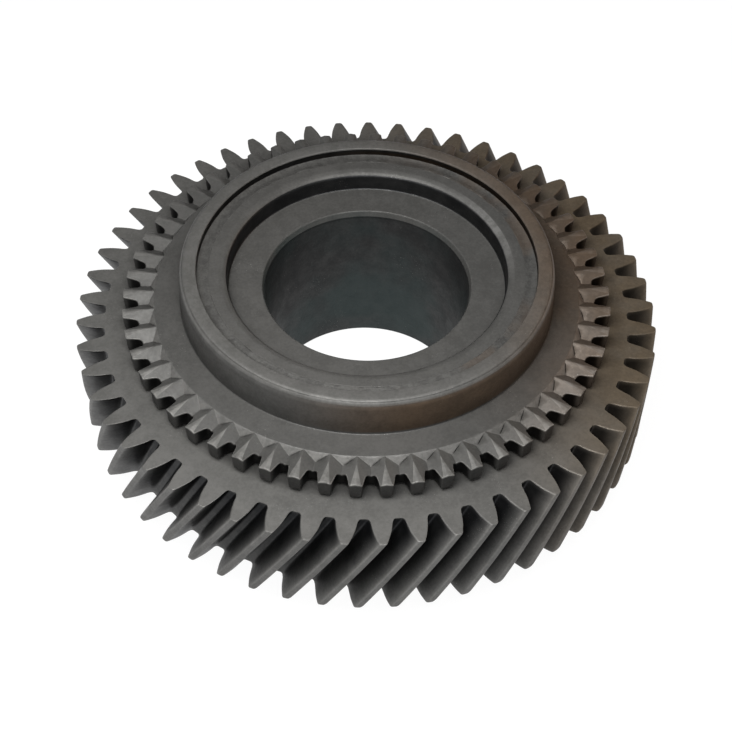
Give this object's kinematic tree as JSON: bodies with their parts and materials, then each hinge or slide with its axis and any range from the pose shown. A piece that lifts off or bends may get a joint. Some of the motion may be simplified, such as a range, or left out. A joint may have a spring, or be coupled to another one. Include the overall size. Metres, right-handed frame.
{
  "type": "synchronised helical speed gear",
  "caption": "Right-hand helical gear wheel with a plain ground bore, a welded-on clutch ring of pointed dog teeth and an upright synchroniser cone collar.",
  "frame": {"origin": "on the bore's axis at the hub's back face, which is the bottom of the part", "axes": "+Z along the bore's axis, out of the end with the clutch ring and cone collar; seen from +Z, +X lies 2 degrees clockwise of the middle of a helical tooth on the wheel's front face"},
  "size_m": [0.14, 0.14, 0.0503],
  "materials": {
    "wheel_steel": "dark grey phosphated and oiled steel, satin, with brighter worn edges",
    "clutch_steel": "dark grey phosphated steel, satin, worn bright on the dog teeth's pointed tops",
    "weld_metal": "rough dark weld bead"
  },
  "bodies": {
    "root": {"gear_wheel": "wheel_steel", "clutch_ring": "clutch_steel", "weld_seam": "weld_metal"}
  },
  "joints": []
}
